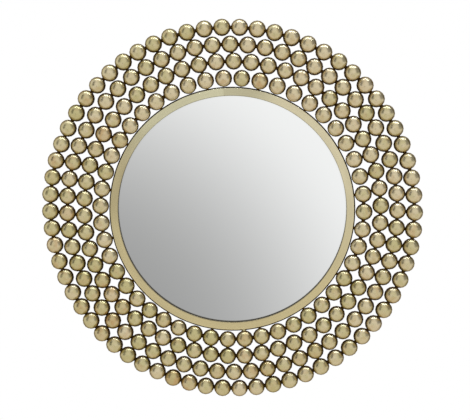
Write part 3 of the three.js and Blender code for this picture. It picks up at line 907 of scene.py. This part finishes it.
def screw_shells(rear, at, seat, shank, twist):
    """A pan head with a cross recess, over a shank with shallow rings. The head is a square
    grid drawn onto a disc by x = u * sqrt(1 - v^2 / 2), z = v * sqrt(1 - u^2 / 2), with the
    height h * sqrt(1 - r^6) less the recess where |u| or |v| is small."""
    cut = np.array([-1, -0.985, -0.94, -0.85, -0.66, -0.6, -0.4, -0.17, -0.10, 0])
    cut = np.concatenate([cut, -cut[-2::-1]])
    u, v = np.meshgrid(cut, cut, indexing="ij")
    x, z = u * np.sqrt(1 - v**2 / 2), v * np.sqrt(1 - u**2 / 2)
    dome = rear.head_height * np.sqrt(np.clip(1 - (x**2 + z**2) ** 3, 0, 1))
    off_cross = np.minimum(np.abs(u), np.abs(v))
    out = np.maximum(np.abs(u), np.abs(v)) / RECESS_REACH
    recess = (off_cross < RECESS_HALF_WIDTH) * (out < 1) * (1 - RECESS_RISE * np.clip(out, 0, 1))
    height = dome - recess * RECESS_DEPTH
    c, s = math.cos(twist) * rear.head_radius, math.sin(twist) * rear.head_radius
    head = np.stack([at[0] + c * x - s * z, seat + height, at[1] + s * x + c * z], axis=-1)
    under = head.copy()
    under[..., 1] = seat
    ridge = np.tile([SHANK_GROOVE, 1.0], SHANK_RINGS) * rear.screw_radius
    rings = np.stack([ridge, np.linspace(seat - SHANK_NECK, seat - shank + SHANK_TIP, len(ridge))], axis=1)
    inside = seat + SHANK_IN_HEAD
    profile = np.concatenate([[(0, inside), (rear.screw_radius, inside)], rings, [(0, seat - shank)]])
    return [grid_shell(np.swapaxes(head, 0, 1)), grid_shell(under), grid_shell(turned(profile[::-1], 12, at))]


def make_turn_buttons(rear, ring):
    """Plates with rounded edges and a shallow pressed channel, each with its screw."""
    zinc = zinc_plating(rear)
    low, high = button_low.y, button_high.y
    arc = np.linspace(0, math.pi / 2, 5)
    near, far = BUTTON_EDGE * (1 - np.sin(arc)), BUTTON_EDGE * (1 - np.cos(arc))
    offsets = np.concatenate([CHANNEL_OFFSETS, near, far, [BUTTON_HALF_WIDTH]])
    heights = np.concatenate([high - CHANNEL_DEPTHS, high - far, low + near, [low]])
    pivot_radius = ring.outer_radius - ring.leg_width / 2
    for number in range(BUTTONS):
        angle = BUTTON_FIRST_ANGLE + number * FULL_TURN / BUTTONS
        at = (pivot_radius * math.cos(angle), pivot_radius * math.sin(angle))
        plate = stadium(BUTTON_LENGTH, BUTTON_HALF_WIDTH, offsets, heights, angle, at)
        piece = add_piece(f"button_{number + 1}", [grid_shell(plate)], zinc, 40)
        stand_for(piece, f"button_{number + 1}", "zinc_plate", f"turn_button_{number + 1}")
        shells = screw_shells(rear, at, high + BUTTON_SCREW_LIFT, BUTTON_SCREW, BUTTON_SCREW_TWIST * number)
        screw = add_piece(f"button_screw_{number + 1}", shells, zinc, 40)
        stand_for(screw, "mirror", "zinc_plate", f"turn_button_screw_{number + 1}")


def arc_points(centre, radius, start, end, steps):
    """Points on an arc: centre + radius * (cos(a), sin(a)) for a from start to end."""
    a = np.linspace(start, end, steps)
    return np.stack([centre[0] + radius * np.cos(a), centre[1] + radius * np.sin(a)], axis=1)


def strap_surface(x):
    """A flat section carried up the board and round the hinge. It is narrowed at its lower end as
    a corner radius asks, by r - sqrt(r^2 - (r - distance from the end)^2), and the path's points
    crowd towards that end by a square law."""
    half, thick = STRAP_HALF_WIDTH, STRAP_SHEET / 2
    corners = [(-half, -thick), (half, -thick), (half, thick), (-half, thick)]
    section = rounded(corners, STRAP_ARRIS, 3, 0.1 * MM)
    tail = HINGE_Z - STRAP_TAIL + STRAP_CROWDED * np.linspace(0, 1, 14) ** 2
    flat = np.concatenate([tail, np.linspace(HINGE_Z - STRAP_STRAIGHT, HINGE_Z - 1 * MM, 6)])
    flat = np.stack([np.full(len(flat), STRAP_OFF_BOARD + thick), flat], axis=1)
    roll = arc_points((HINGE_Y, HINGE_Z), KNUCKLE, math.pi, KNUCKLE_END, 22)
    path = np.insert(np.concatenate([flat, roll]), 0, x, axis=1)
    from_end = np.linalg.norm(np.diff(path, axis=0, prepend=path[:1]), axis=1).cumsum()
    short = np.clip(STRAP_END_RADIUS - from_end, 0, None)
    inset = STRAP_END_RADIUS - np.sqrt(STRAP_END_RADIUS**2 - short**2)
    return carried(section, path, np.array([1.0, 0, 0]), 1 - inset / half)


def hanging_ring_surface(rear, x):
    """A round wire carried along a D: a straight in the knuckle, open at its middle, two
    shoulders and half a circle."""
    half, bend = rear.wire_half_width, WIRE_BEND
    outline = np.concatenate([
        [(WIRE_GAP, 0), (WIRE_STRAIGHT, 0)], arc_points((half - bend, -bend), bend, math.pi / 2, 0, 7),
        arc_points((0, -WIRE_DROP), half, 0, -math.pi, 25),
        arc_points((bend - half, -bend), bend, math.pi, math.pi / 2, 7),
        [(-WIRE_STRAIGHT, 0), (-WIRE_GAP, 0)],
    ])
    path = np.stack([x + outline[:, 0], np.full(len(outline), HINGE_Y), HINGE_Z + outline[:, 1]], axis=1)
    section = arc_points((0, 0), rear.wire_radius, 0, FULL_TURN, 13)
    return carried(section, path, np.array([0, 1.0, 0]))


def make_hangers(rear):
    """Straps rolled round their hanging rings' wire, two screws each, and the wire rings."""
    zinc = zinc_plating(rear)
    for name, x in (("left", -HANGER_X), ("right", HANGER_X)):
        piece = add_piece(f"strap_{name}", [grid_shell(strap_surface(x))], zinc, 40)
        stand_for(piece, "mirror", "zinc_plate", f"hanger_strap_{name}")
        for end, drop, twist in STRAP_SCREWS:
            shells = screw_shells(rear, (x, HINGE_Z - drop), STRAP_SCREW_SEAT, STRAP_SCREW, twist)
            screw = add_piece(f"strap_screw_{name}_{end}", shells, zinc, 40)
            stand_for(screw, "mirror", "zinc_plate", f"hanger_screw_{name}_{end}")
        piece = add_piece(f"hanging_ring_{name}", [grid_shell(hanging_ring_surface(rear, x))], zinc, 50)
        stand_for(piece, f"hanging_ring_{name}", "zinc_plate", f"d_ring_{name}")


def make_bumpers(rear):
    """Round rubber feet: a slightly tapered wall, a rounded rim and a face with a shallow dish."""
    rubber = bumper_rubber(rear)
    arc = np.linspace(0, math.pi / 2, 7)
    top = np.array([BUMPER_RADIUS, bumper_high.y])
    rim = top - (RIM_INSET, 0) - RIM * (1 - np.stack([np.cos(arc), np.sin(arc)], axis=1))
    wall = (BUMPER_RADIUS, bumper_low.y) + BUMPER_WALL * (-1, 1)
    profile = np.concatenate([wall, rim, top - BUMPER_FACE])
    for number, name in enumerate(("upper_right", "upper_left", "lower_left", "lower_right")):
        angle = FULL_TURN / 8 + number * FULL_TURN / 4
        at = (BUMPER_CIRCLE * math.cos(angle), BUMPER_CIRCLE * math.sin(angle))
        piece = add_piece(f"bumper_{name}", [grid_shell(turned(profile, 32, at))], rubber, 50)
        stand_for(piece, "mirror", "bumper_rubber", f"wall_bumper_{name}")


# ------------------------------------------------------------------ the studio

# Dark flags that stand upright: azimuth, half width where darkest and at the edge, in degrees,
# and how dark
DARK_FLAGS = (
    (-57, 9, 21, 0.88),
    (92, 30, 47, 0.66),
)
# A round dark flag in front of the glass: azimuth, elevation, radius where darkest and at the
# edge, in degrees, and how dark
GLASS_FLAG = (-7.5, -13, 1.8, 10.95, 0.60)
# Azimuth and elevation of the strip light in degrees, and its distance, size and colour
STRIP_PLACE = (128, 79)
STRIP_DISTANCE = 4
STRIP_LENGTH, STRIP_WIDTH = 4.4, 1.1
STRIP_COLOUR = (0.77, 0.855, 1.0)
# The floor in reflections: how much it lacks in each of red, green and blue, and behind the mirror
FLOOR_TINT = (0.10, 0.13, 0.17)
FLOOR_BEHIND = 0.60
FLOOR_RINGS, FLOOR_STEPS = 12, 96
SENSOR_WIDTH = 36
CAMERA_SHIFT = (0.0063, -0.0002)


def direction(azimuth, elevation):
    """A unit vector: azimuth 0 is towards -Y and 90 towards +X, elevation is above the level."""
    a, e = math.radians(azimuth), math.radians(elevation)
    return math.sin(a) * math.cos(e), -math.cos(a) * math.cos(e), math.sin(e)


def light_studio(studio):
    """A white room with dark flags, greyer overhead, underneath and behind the mirror, which is
    seen only in reflections. The camera sees plain white. A strip light overhead, a little to the
    rear, lights every ball alike, because it casts no shadows."""
    world = bpy.context.scene.world or bpy.data.worlds.new("studio")
    bpy.context.scene.world = world
    world.use_nodes = True
    world.node_tree.nodes.clear()
    start = Wire(world.node_tree)
    ray = start.node("TexCoord", {}, {}, "Generated")
    x, y, z = axes(start, ray)

    upright = z.rising(-0.15, 0.10) * z.rising(0.95, 0.70)
    around = x.maths("ARCTAN2", x, 0 - y)
    azimuth, elevation, inner, outer, glass_strength = GLASS_FLAG
    flag_at = {0: ray, 1: direction(azimuth, elevation)}
    toward = start.node("VectorMath", {"operation": "DOT_PRODUCT"}, flag_at, "Value")
    glass_flag = toward.rising(math.cos(math.radians(outer)), math.cos(math.radians(inner)))
    level = 1.0 - 0.27 * z.rising(-0.5, -1.0) - 0.12 * z.rising(0.5, 0.8) - 0.60 * y.rising(0.30, 0.56)
    for azimuth, inner, outer, strength in DARK_FLAGS:
        off = x.maths("ABSOLUTE", around - math.radians(azimuth))
        level = level - strength * upright * off.rising(math.radians(outer), math.radians(inner))
    level = level * studio.brightness - glass_strength * glass_flag
    level = level.maths("MAXIMUM", level, 0.0)
    lit = start.node("CombineColor", {}, {0: level, 1: level, 2: level})
    studio_light = start.node("Background", {}, {"Color": lit, "Strength": 1.0})
    white = start.node("Background", {}, {"Color": (1, 1, 1, 1), "Strength": 1.0})
    rays = start.node("LightPath", {}, {}, "Is Camera Ray")
    seen = rays.maths("MAXIMUM", rays, rays.also("Is Transmission Ray"))
    both = start.node("MixShader", {}, {0: seen, 1: studio_light, 2: white})
    start.node("OutputWorld", {}, {"Surface": both})

    strip = bpy.data.lights.new("strip", "AREA")
    strip.shape, strip.size, strip.size_y = "RECTANGLE", STRIP_LENGTH, STRIP_WIDTH
    strip.energy, strip.color, strip.use_shadow = studio.strip, STRIP_COLOUR, False
    strip.cycles.use_multiple_importance_sampling = False
    lamp = bpy.data.objects.new("strip", strip)
    bpy.context.scene.collection.objects.link(lamp)
    toward = Vector(direction(*STRIP_PLACE))
    lamp.location = STRIP_DISTANCE * toward
    sideways = (Vector((1, 0, 0)) - toward.x * toward).normalized()
    lamp.rotation_euler = Matrix((sideways, toward.cross(sideways), toward)).transposed().to_euler()


def lay_floor(studio):
    """A round pale floor. It keeps the mirror's shadow near it, and further out it grows white
    to the camera. In reflections it is a warm white in front of the mirror and grey behind it."""
    made, start = new_material("pale_floor")
    place = object_place(start)
    x, y, z = axes(start, place)
    reach = (x * x + y * y) ** 0.5
    grain = start.noise(place, 30, 3)
    matt = start.node("BsdfDiffuse", {}, {"Color": grain.mix((0.90, 0.90, 0.89), (0.93, 0.93, 0.92))})
    rays = start.node("LightPath", {}, {}, "Is Camera Ray")
    glossy = rays.maths("MAXIMUM", rays.also("Is Glossy Ray"), rays.also("Is Transmission Ray"))
    level = 1.0 - FLOOR_BEHIND * glossy * y.rising(0.0, 0.9)
    parts = dict(enumerate(level * (1 - lack * glossy) for lack in FLOOR_TINT))
    glow = start.node("Emission", {}, {"Color": start.node("CombineColor", {}, parts), "Strength": 1.0})
    fade = 0.35 + 0.65 * reach.rising(0.9, 3.2)
    both = start.node("MixShader", {}, {0: rays.maths("MAXIMUM", rays * fade, glossy), 1: matt, 2: glow})
    start.node("OutputMaterial", {}, {"Surface": both})
    rings = np.stack([np.linspace(0, studio.floor_radius, FLOOR_RINGS), np.zeros(FLOOR_RINGS)], axis=1)
    disc = turned(rings, FLOOR_STEPS)
    disc[..., 1], disc[..., 2] = disc[..., 2].copy(), -studio.floor_drop
    floor = add_piece("floor", [grid_shell(disc)], made)


def set_camera(studio):
    """A long lens, a little above the mirror's middle and right of it, that looks at the face."""
    data = bpy.data.cameras.new("camera")
    data.lens, data.sensor_width = studio.lens, SENSOR_WIDTH
    data.shift_x, data.shift_y = CAMERA_SHIFT
    camera = bpy.data.objects.new("camera", data)
    bpy.context.scene.collection.objects.link(camera)
    aim = Vector((0, ring_low.y, 0))
    back = Vector(direction(math.degrees(studio.azimuth), math.degrees(studio.elevation)))
    camera.location = aim + studio.distance * back
    camera.rotation_euler = back.to_track_quat("Z", "Y").to_euler()
    bpy.context.scene.camera = camera


# ------------------------------------------------------------------ the add-on


class ROUND_MIRROR_OT_ball_strands(bpy.types.Operator):
    """Add the welded strands of balls"""

    bl_idname = "round_mirror.ball_strands"
    bl_label = "Ball Strands"

    def execute(self, context):
        make_ball_strands(context.scene.mirror_balls, context.scene.mirror_ring)
        return {"FINISHED"}


class ROUND_MIRROR_OT_ring(bpy.types.Operator):
    """Add the brushed ring"""

    bl_idname = "round_mirror.ring"
    bl_label = "Ring"

    def execute(self, context):
        make_ring(context.scene.mirror_ring)
        return {"FINISHED"}


class ROUND_MIRROR_OT_glass(bpy.types.Operator):
    """Finish the glass and the foam tape under the ring"""

    bl_idname = "round_mirror.glass"
    bl_label = "Glass"

    def execute(self, context):
        dress_glass(context.scene.mirror_ring, context.scene.mirror_rear)
        return {"FINISHED"}


class ROUND_MIRROR_OT_board(bpy.types.Operator):
    """Add the backing board"""

    bl_idname = "round_mirror.board"
    bl_label = "Backing Board"

    def execute(self, context):
        make_board(context.scene.mirror_rear)
        return {"FINISHED"}


class ROUND_MIRROR_OT_turn_buttons(bpy.types.Operator):
    """Add the turn buttons and their screws"""

    bl_idname = "round_mirror.turn_buttons"
    bl_label = "Turn Buttons"

    def execute(self, context):
        make_turn_buttons(context.scene.mirror_rear, context.scene.mirror_ring)
        return {"FINISHED"}


class ROUND_MIRROR_OT_hangers(bpy.types.Operator):
    """Add the straps, their screws and the hanging rings"""

    bl_idname = "round_mirror.hangers"
    bl_label = "Hangers"

    def execute(self, context):
        make_hangers(context.scene.mirror_rear)
        return {"FINISHED"}


class ROUND_MIRROR_OT_bumpers(bpy.types.Operator):
    """Add the wall bumpers"""

    bl_idname = "round_mirror.bumpers"
    bl_label = "Wall Bumpers"

    def execute(self, context):
        make_bumpers(context.scene.mirror_rear)
        return {"FINISHED"}


class ROUND_MIRROR_OT_studio(bpy.types.Operator):
    """Add the studio: light, floor and camera"""

    bl_idname = "round_mirror.studio"
    bl_label = "Studio"

    def execute(self, context):
        studio = context.scene.mirror_studio
        context.scene.view_settings.view_transform = "Standard"
        light_studio(studio)
        lay_floor(studio)
        set_camera(studio)
        return {"FINISHED"}


class ROUND_MIRROR_PT_panel(bpy.types.Panel):
    """Every piece of the mirror, with the sizes and colours it is made from"""

    bl_idname = "ROUND_MIRROR_PT_panel"
    bl_label = "Round Mirror"
    bl_space_type = "VIEW_3D"
    bl_region_type = "UI"
    bl_category = "Round Mirror"

    def draw(self, context):
        groups = (
            ("mirror_balls", (ROUND_MIRROR_OT_ball_strands,)),
            ("mirror_ring", (ROUND_MIRROR_OT_ring, ROUND_MIRROR_OT_glass)),
            ("mirror_rear", (
                ROUND_MIRROR_OT_board, ROUND_MIRROR_OT_turn_buttons,
                ROUND_MIRROR_OT_hangers, ROUND_MIRROR_OT_bumpers,
            )),
            ("mirror_studio", (ROUND_MIRROR_OT_studio,)),
        )
        for group, operators in groups:
            box = self.layout.box()
            sizes = getattr(context.scene, group)
            for name in sizes.__annotations__:
                box.prop(sizes, name)
            for operator in operators:
                box.operator(operator.bl_idname)


GROUPS = {
    "mirror_balls": BallSurround, "mirror_ring": GlassRing,
    "mirror_rear": RearFittings, "mirror_studio": Studio,
}
OPERATORS = (
    ROUND_MIRROR_OT_ball_strands, ROUND_MIRROR_OT_ring, ROUND_MIRROR_OT_glass,
    ROUND_MIRROR_OT_board, ROUND_MIRROR_OT_turn_buttons, ROUND_MIRROR_OT_hangers,
    ROUND_MIRROR_OT_bumpers, ROUND_MIRROR_OT_studio,
)


def register():
    """Makes the groups, operators and panel known, and gives the scene its four groups."""
    for kind in (*GROUPS.values(), *OPERATORS, ROUND_MIRROR_PT_panel):
        bpy.utils.register_class(kind)
    for name, group in GROUPS.items():
        setattr(bpy.types.Scene, name, PointerProperty(type=group))


def unregister():
    """Takes back what register() did."""
    for name in GROUPS:
        delattr(bpy.types.Scene, name)
    for kind in (ROUND_MIRROR_PT_panel, *OPERATORS, *GROUPS.values()):
        bpy.utils.unregister_class(kind)


def main():
    """Makes every piece and the studio."""
    register()
    bpy.ops.round_mirror.ball_strands()
    bpy.ops.round_mirror.ring()
    bpy.ops.round_mirror.glass()
    bpy.ops.round_mirror.board()
    bpy.ops.round_mirror.turn_buttons()
    bpy.ops.round_mirror.hangers()
    bpy.ops.round_mirror.bumpers()
    bpy.ops.round_mirror.studio()


if __name__ == "__main__":
    main()
